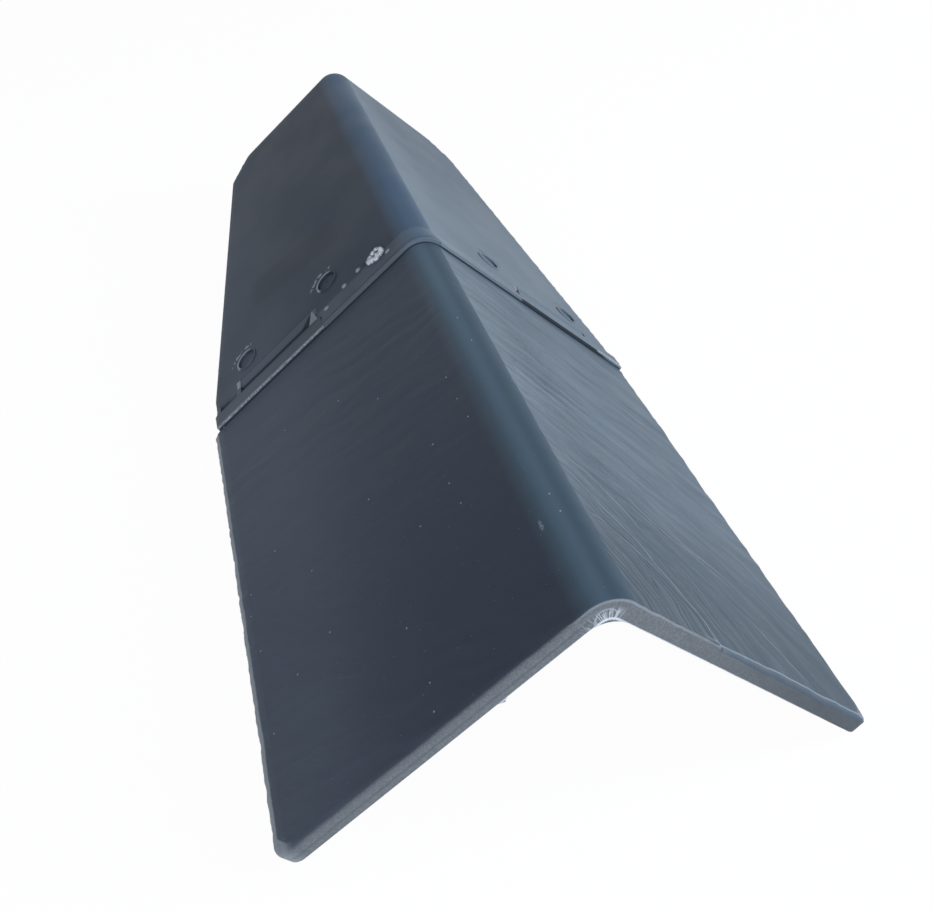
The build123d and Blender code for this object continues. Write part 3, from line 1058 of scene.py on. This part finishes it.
# the wide part's lower edge, which gets a painted highlight
bead_edge_highlight = band(behind, 0.35, 0.7, 0.2, 0.5)
body = coats(
    body,
    # painted shade in the crease at the bead's foot
    (shadow, 0.8, band(behind, -0.5, 0.05, 0.35, 0.25)),
    # painted highlight on the bead's crest on the right leg
    ("#6a757d", 0.7, band(behind, 0.3, 1.5, 0.1, 1.0), narrow_right),
    # painted shade along the bead's front on the right leg
    ("#161c21", 0.8, band(behind, -0.5, 0.1, 0.3, 0.15), band(across, 12.0, 64.0, 4.0, 1.0)),
    (shadow, 0.8, band(behind, -0.4, 0.45, 0.3, 0.25), band(across, 66.0, 123.0, 2.0, 8.0)),
    # a soft painted shadow below the bead on the right leg
    ("#2f3943", 0.45, band(behind, -0.8, 0.0, 4.5, 0.1), band(across, 20.0, 130.0, 20.0, 15.0)),
    # painted light on the bead's tail, where it turns from the lamps
    ("#465462", 0.5, bead_tail, left_leg, band(out_here, 8.0, 64.0, 3.0, 2.0)),
    ("#37526b", 0.35, bead_tail, ridge_here),
    # painted highlight on the crest, and a speckled one on the wide part's lower edge
    ("#646c72", 0.6, band(behind, 0.2, 1.6, 0.2, 0.9), band(across, -64.0, 9.0, 1.0, 2.0)),
    ("#798085", 0.5, bead_edge_highlight, wide_part),
    ("#b4babd", 0.7, bead_edge_highlight, wide_part, speckle),
    ("#59626a", 0.3, wide_part, band(behind, 0.7, 6.0, 0.3, 4.0)),
    # painted highlight on the crest near the right leg's outer end
    ("#a4abaf", 0.6, band(across, 122.0, 140.0, 2.0, 0.5), band(behind, 0.5, 1.6, 0.15, 0.8)),
)

# %% Paint the troughs
deep = band(out_here, trough_start, trough_end, 0.1, 0.1)
shallow = band(out_here, groove_start, groove_end, 0.1, 0.1)
trough_far = wide_bead_end + trough_length
wall_offset = -1.8
wall_line = {0: behind, 1: wall_lean / trough_length, 2: wall_offset}
wall_line = add(paint, MATH, wall_line, operation="MULTIPLY_ADD")
past_wall = add(paint, MATH, {0: out_here, 1: wall_line}, operation="SUBTRACT")
past_wall = add(paint, MATH, {0: past_wall, 1: trough_start}, operation="SUBTRACT")
wall_width = {0: behind, 1: -wall_reach / trough_length, 2: wall_reach * trough_far / trough_length}
wall_width = add(paint, MATH, wall_width, operation="MULTIPLY_ADD")
wall_share = add(paint, MATH, {0: past_wall, 1: wall_width}, operation="DIVIDE").outputs[0]
body = coats(
    body,
    # painted shade deep in the troughs
    (painted_shade_colour, 0.9, band(behind, 9.9, 17.6, 0.2, 1.6), deep),
    (painted_shade_colour, 0.88, band(behind, 9.9, 16.0, 0.2, 2.0), shallow),
    # painted light on the trough floor rising to the headlap, and a thin line of painted shade at
    # its far edge
    ("#626c76", 0.45, band(behind, 19.0, 23.5, 1.5, 0.4), deep, left_leg),
    ("#1f262d", 0.22, band(behind, 23.6, 24.2, 0.5, 0.4), deep, left_leg),
    # the leaning wall painted pale as a lit wall, and painted shade beside it
    ("#7f888f", 0.9, band(wall_share, 0.0, 1.0, 0.05, 0.05), band(behind, 10.2, 23.0, 0.2, 0.8)),
    (painted_shade_colour, 0.9, band(wall_share, 1.05, 1.8, 0.1, 0.9), band(behind, 10.2, 21.0, 0.2, 3.0)),
    ("#a3acb2", 0.75, band(across, -124.4, -122.2, 0.3, 0.3), band(behind, 19.0, 23.6, 1.5, 0.8)),
)

# %% [markdown]
# ## Nail marks and the gate
# The rims of the nail marks get a painted highlight on the side that stands out; inside them the
# recess's edge gets painted shade on the left leg and painted light on the right. Round each mark
# a broken arc is painted, pale on the left leg and dark on the right. The gate was torn off, so its
# plug is pale and rough; its slit gets painted shade, and a painted shadow lies beside the stub.

# %% Paint the nail marks
painted_shade_black = "#0d1115"
grain_wide = add(paint, NOISE, {"Vector": flat, "Scale": 1 / 2.2, "Detail": 2.0})
slanted = add(paint, MATH, {0: out_here, 1: behind}, operation="ADD").outputs[0]
broken = band(grain_wide, 0.52, 1.0, 0.06, 0.1)
for nail_out in nail_places:
    nail_y = joint + nail_setback
    rim = round_band(nail_out, nail_y, 5.9, 6.9, 0.25)
    outer_back = band(slanted, nail_out + nail_setback + 3.5, 400.0, 4.0, 1.0)
    back_side = both(
        band(behind, 41.0, 60.0, 3.0, 1.0), band(out_here, nail_out - 3.0, 200.0, 3.0, 1.0)
    )
    broken_arc = both(round_band(nail_out, nail_y, 9.8, 11.4, 0.6), back_side, broken)
    recess_edge = round_band(nail_out, nail_y, 4.7, 5.6, 0.5)
    inner_edge = both(recess_edge, band(out_here, 0.0, nail_out - 2.0, 1.0, 3.0))
    body = coats(
        body,
        # painted highlight on the rim's outer side
        ("#b4bec5", 0.6, rim, outer_back, left_side),
        ("#98a3ab", 0.7, broken_arc, left_side),
        ("#252d35", 0.7, broken_arc, right_leg),
        # painted shade inside the recess on the left leg, painted light there on the right leg
        (painted_shade_black, 0.35, inner_edge, left_side),
        ("#7d8991", 0.45, inner_edge, right_leg),
    )

# %% Paint the gate and the pips
torn = band(gate_here, -1.0, gate_radius - 0.2, 0.5, 0.4)
torn_noise = add(paint, NOISE, {"Vector": flat, "Scale": 1 / 1.6, "Detail": 3.0})
near_half = band(along, near_end, gate[1] - 0.9, 1.0, 1.4)
inner_gate = band(gate_here, -1.0, gate_radius - 1.2, 0.5, 0.3)
shadow_out, shadow_y = 33.0, gate[1] + 3.6
body = coats(
    body,
    ("#8f9ba4", 0.8, torn),
    ("#dfe5e8", 0.9, torn, band(torn_noise, 0.56, 1.0, 0.12, 0.1)),
    ("#eef1f3", 0.6, band(gate_here, 3.9, 5.3, 0.8, 0.3), near_half),
    # a painted shadow beside the stub, painted shade round its foot and in its slit
    (painted_shade_colour, 0.7, round_band(shadow_out, shadow_y, -1.0, 0.8, 2.2), left_side),
    (painted_shade_colour, 0.55, band(gate_here, gate_radius, 6.2, 0.15, 0.5)),
    (painted_shade_colour, 0.95, inner_gate, band(height, -3.0, 1.05, 0.1, 0.3)),
)
for pip_across, pip_y in pips:
    dome = round_band(-pip_across, pip_y, -1.0, 1.2, 0.7)
    body = coats(body, ("#a9b3ba", 0.65, dome, left_side))

# %% [markdown]
# ## Specks and scuffs
# The dark legs show small pale specks of dust. Cells of a Voronoi pattern give each speck its
# place, and a cell's random colour decides whether it has one, so that they aren't evenly spread.


# %% Scatter the specks and add the scuff
def specks(cell, radius, share):
    """A mask of round specks: the cells' size and the specks' radius are in millimetres."""
    cells = {"Vector": on_sheet, "Scale": 1 / cell}
    found = add(paint, "ShaderNodeTexVoronoi", cells, voronoi_dimensions="2D")
    chance = add(paint, SEPARATE, {0: found.outputs["Color"]}).outputs[0]
    dot = band(found.outputs["Distance"], -1.0, radius / cell * 0.6, 0.1, radius / cell * 0.6)
    return both(dot, band(chance, 1 - share, 2.0, 0.001, 1.0))


scuff_place = (-11.0, near_end + 41.0, 0)
scuff = add(paint, VECTOR_MATH, {0: on_sheet, 1: scuff_place}, operation="SUBTRACT")
scuff = add(paint, VECTOR_MATH, {0: scuff, 1: (1.6, 0.5, 0.0)}, operation="MULTIPLY")
scuff = add(paint, VECTOR_MATH, {0: scuff}, operation="LENGTH").outputs["Value"]
body = coats(
    body,
    ("#b9c2c8", 0.75, specks(17.0, 0.34, 0.16), left_leg, exposed_face),
    ("#8e98a1", 0.35, specks(6.0, 0.22, 0.16), left_leg, exposed_face),
    ("#a3afb9", 0.5, band(scuff, -1.0, 0.5, 0.1, 1.2), band(grain, 0.5, 1.0, 0.1, 0.1)),
)

# %% [markdown]
# ## The fine relief and the gloss
# Relief finer than the mesh is a bump: streaks along the flow and thin steps along the contour
# lines of a stretched noise, which read as the edges of single layers. They are strong on the right
# leg, weaker on the left leg and by the joint, and nearly absent on the ridge. Everywhere there is
# a fine pitted grain.

# %% Where the fine relief lies, and how deep it is
layer_count = 9.0
layers = flowing_noise(paint, across, flow_here, 5.0, 34.0, 8.0, 3.0)
layers = add(paint, MATH, {0: product(paint, layers, layer_count)}, operation="FRACT")
layers = band(layers, 0.12, 0.2, 0.12, 0.8)
leg_share = {0: across, 1: -14.0, 2: 12.0, 3: 0.12, 4: 1.0}
leg_share = add(paint, RANGE, leg_share, interpolation_type="SMOOTHSTEP")
off_ridge = add(paint, RANGE, {0: band(across, -9.0, 8.5, 6.0, 4.0), 3: 1.0, 4: 0.12})
calm = add(paint, RANGE, {0: band(behind, -22.0, 1.0, 70.0, 1.0), 3: 1.0, 4: 0.4})
on_top = band(height, -1.0, 9.0, 4.0, 1.0)
off_end = band(from_near, 1.0, 500.0, 1.0, 1.0)
riven = both(exposed_face, leg_share, off_ridge, calm, on_top, off_end)
layer_depth = add(paint, RANGE, {0: band(across, 11.0, 34.0, 2.0, 60.0), 3: 0.06, 4: 0.28})
streak_depth = add(paint, RANGE, {0: band(across, 11.0, 40.0, 2.0, 70.0), 3: 0.08, 4: 0.17})
wrinkles = flowing_noise(paint, across, flow_here, 12.0, 26.0, 9.0, 3.0)
wrinkles = both(wrinkles, left_leg, exposed_face, band(out_here, 12.0, 138.0, 8.0, 3.0))
print("with the fine relief:", len(paint.nodes))

# %% Bump of streaks, steps, wrinkles and pits, in millimetres
wrinkle_depth = 0.5
pit_depth = 0.035
bump = both(fine_streaks, streak_depth)
bump = add(paint, MATH, {0: layers, 1: layer_depth, 2: bump}, operation="MULTIPLY_ADD")
bump = both(bump, riven)
for noise, depth in ((wrinkles, wrinkle_depth), (grain, pit_depth)):
    bump = add(paint, MATH, {0: noise, 1: depth, 2: bump}, operation="MULTIPLY_ADD")
bump = add(paint, "ShaderNodeBump", {"Height": bump, "Distance": MM, "Strength": 1.0})
print("wrinkles up to", wrinkle_depth, "mm deep, pits up to", pit_depth, "mm")

# %% Gloss and the finished surface
gloss = add(paint, RANGE, {0: both(ridge_here, headlap), 3: 0.5, 4: 0.4})
for mask, change in ((torn, -0.22), (mottle, 0.06)):
    gloss = add(paint, MATH, {0: mask, 1: change, 2: gloss}, operation="MULTIPLY_ADD")
finish = {"Base Color": body, "Roughness": gloss, "IOR": 1.5, "Normal": bump}
finish["Specular IOR Level"] = 0.12
surface = add(paint, "ShaderNodeBsdfPrincipled", finish)
add(paint, "ShaderNodeOutputMaterial", {0: surface})
print("paint nodes:", len(paint.nodes))

# %% Run the tree on the sheet and keep the result
dresser = sheet.modifiers.new("riven_face_and_fold", "NODES")
dresser.node_group = shape
for name, value in {**sizes, "Material": moulded}.items():
    dresser[sockets[name].identifier] = value
bpy.context.view_layer.update()
dressed_sheet = sheet.evaluated_get(bpy.context.evaluated_depsgraph_get())
tile_mesh = bpy.data.meshes.new_from_object(dressed_sheet)
bpy.data.objects.remove(sheet)
tile = bpy.data.objects.new("moulded_tile", tile_mesh)
bpy.context.scene.collection.objects.link(tile)
print("points of the folded tile:", len(tile_mesh.vertices))

# %% Smooth the tile and put it in the solid's place
sharp_angle = math.radians(50)
work = bmesh.new()
work.from_mesh(tile_mesh)
bmesh.ops.recalc_face_normals(work, faces=work.faces)
for face in work.faces:
    face.smooth = True
for edge in work.edges:
    edge.smooth = edge.calc_face_angle(0) < sharp_angle
print("tile volume:", round(work.calc_volume() / MM**3), "mm3")
bmesh.ops.triangulate(work, faces=[face for face in work.faces if len(face.verts) > 3])
work.to_mesh(tile_mesh)
work.free()
print("tile triangles:", len(tile_mesh.polygons), "materials:", list(tile_mesh.materials))
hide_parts("ridge_tile")
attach(tile, "root")

# %% [markdown]
# ## Floor, light and camera
# The tile stands on a pale floor in soft light. The photo was taken from the near end, from the
# left and above, close to the tile, so the far end looks much smaller than the near one.
# The camera and reflections see the floor and the world as white, whatever light falls on them.


# %% The floor
def white_rays(tree, share):
    """The share of white that camera, glossy and transmission rays see."""
    rays = add(tree, "ShaderNodeLightPath").outputs
    seen = add(tree, MATH, {0: rays["Is Camera Ray"], 1: rays["Is Glossy Ray"]}, operation="ADD")
    seen = {0: seen, 1: rays["Is Transmission Ray"]}
    seen = add(tree, MATH, seen, operation="ADD", use_clamp=True)
    return product(tree, seen, share)


reach = 6.0
corners = [(-reach, -reach, 0), (reach, -reach, 0), (reach, reach, 0), (-reach, reach, 0)]
floor_mesh = bpy.data.meshes.new("floor")
floor_mesh.from_pydata(corners, [], [(0, 1, 2, 3)])
floor = bpy.data.objects.new("floor", floor_mesh)
bpy.context.scene.collection.objects.link(floor)
pale = bpy.data.materials.new("pale_studio_floor")
pale.use_nodes = True
ground = pale.node_tree
ground.nodes.clear()
matt = add(ground, "ShaderNodeBsdfDiffuse", {"Color": linear("#f2f2f2")})
white = add(ground, "ShaderNodeEmission", {"Color": linear("#ffffff"), "Strength": 1.0})
blend = add(ground, "ShaderNodeMixShader", {0: white_rays(ground, 0.97), 1: matt, 2: white})
add(ground, "ShaderNodeOutputMaterial", {0: blend})
floor_mesh.materials.append(pale)
print("floor:", 2 * reach, "m wide")

# %% The world and the lamps
world = bpy.data.worlds.new("studio")
bpy.context.scene.world = world
world.use_nodes = True
sky = world.node_tree
sky.nodes.clear()
dim = add(sky, "ShaderNodeBackground", {"Color": linear("#f4f7ff"), "Strength": 0.14})
bright = add(sky, "ShaderNodeBackground", {"Color": linear("#ffffff"), "Strength": 1.0})
blend = add(sky, "ShaderNodeMixShader", {0: white_rays(sky, 1.0), 1: dim, 2: bright})
add(sky, "ShaderNodeOutputWorld", {0: blend})


def soft_lamp(name, place, size, power, colour):
    """A square soft lamp that points at the middle of the tile."""
    light = bpy.data.lights.new(name, "AREA")
    light.size = size
    light.energy = power
    light.color = linear(colour)[:3]
    lamp = bpy.data.objects.new(name, light)
    lamp.location = place
    way = Vector((0, 0, 0.05)) - Vector(place)
    lamp.rotation_euler = way.to_track_quat("-Z", "Y").to_euler()
    bpy.context.scene.collection.objects.link(lamp)


soft_lamp("key", (1.4, -0.45, 1.0), 0.7, 41, "#e6effc")
soft_lamp("fill", (-1.2, -3.4, 1.2), 1.4, 78, "#f0f4ff")
soft_lamp("side", (-1.3, 0.1, 0.7), 0.8, 3, "#e6efff")
print("lamps:", len(bpy.data.lights))

# %% The camera
camera_data = bpy.data.cameras.new("camera")
camera_data.sensor_width = 36.0
camera_data.lens = 41.88
camera = bpy.data.objects.new("camera", camera_data)
look = Vector((0.204, 0.771, -0.603)).normalized()
up = Vector((0.158, 0.582, 0.798)).normalized()
right = look.cross(up).normalized()
up = right.cross(look)
camera.matrix_world = Matrix((right, up, -look)).transposed().to_4x4()
camera.location = (-0.0996, -0.4596, 0.3230)
bpy.context.scene.collection.objects.link(camera)
bpy.context.scene.camera = camera
bpy.context.scene.view_settings.view_transform = "Standard"
print("camera at", list(camera.location), "m, lens", camera_data.lens, "mm")
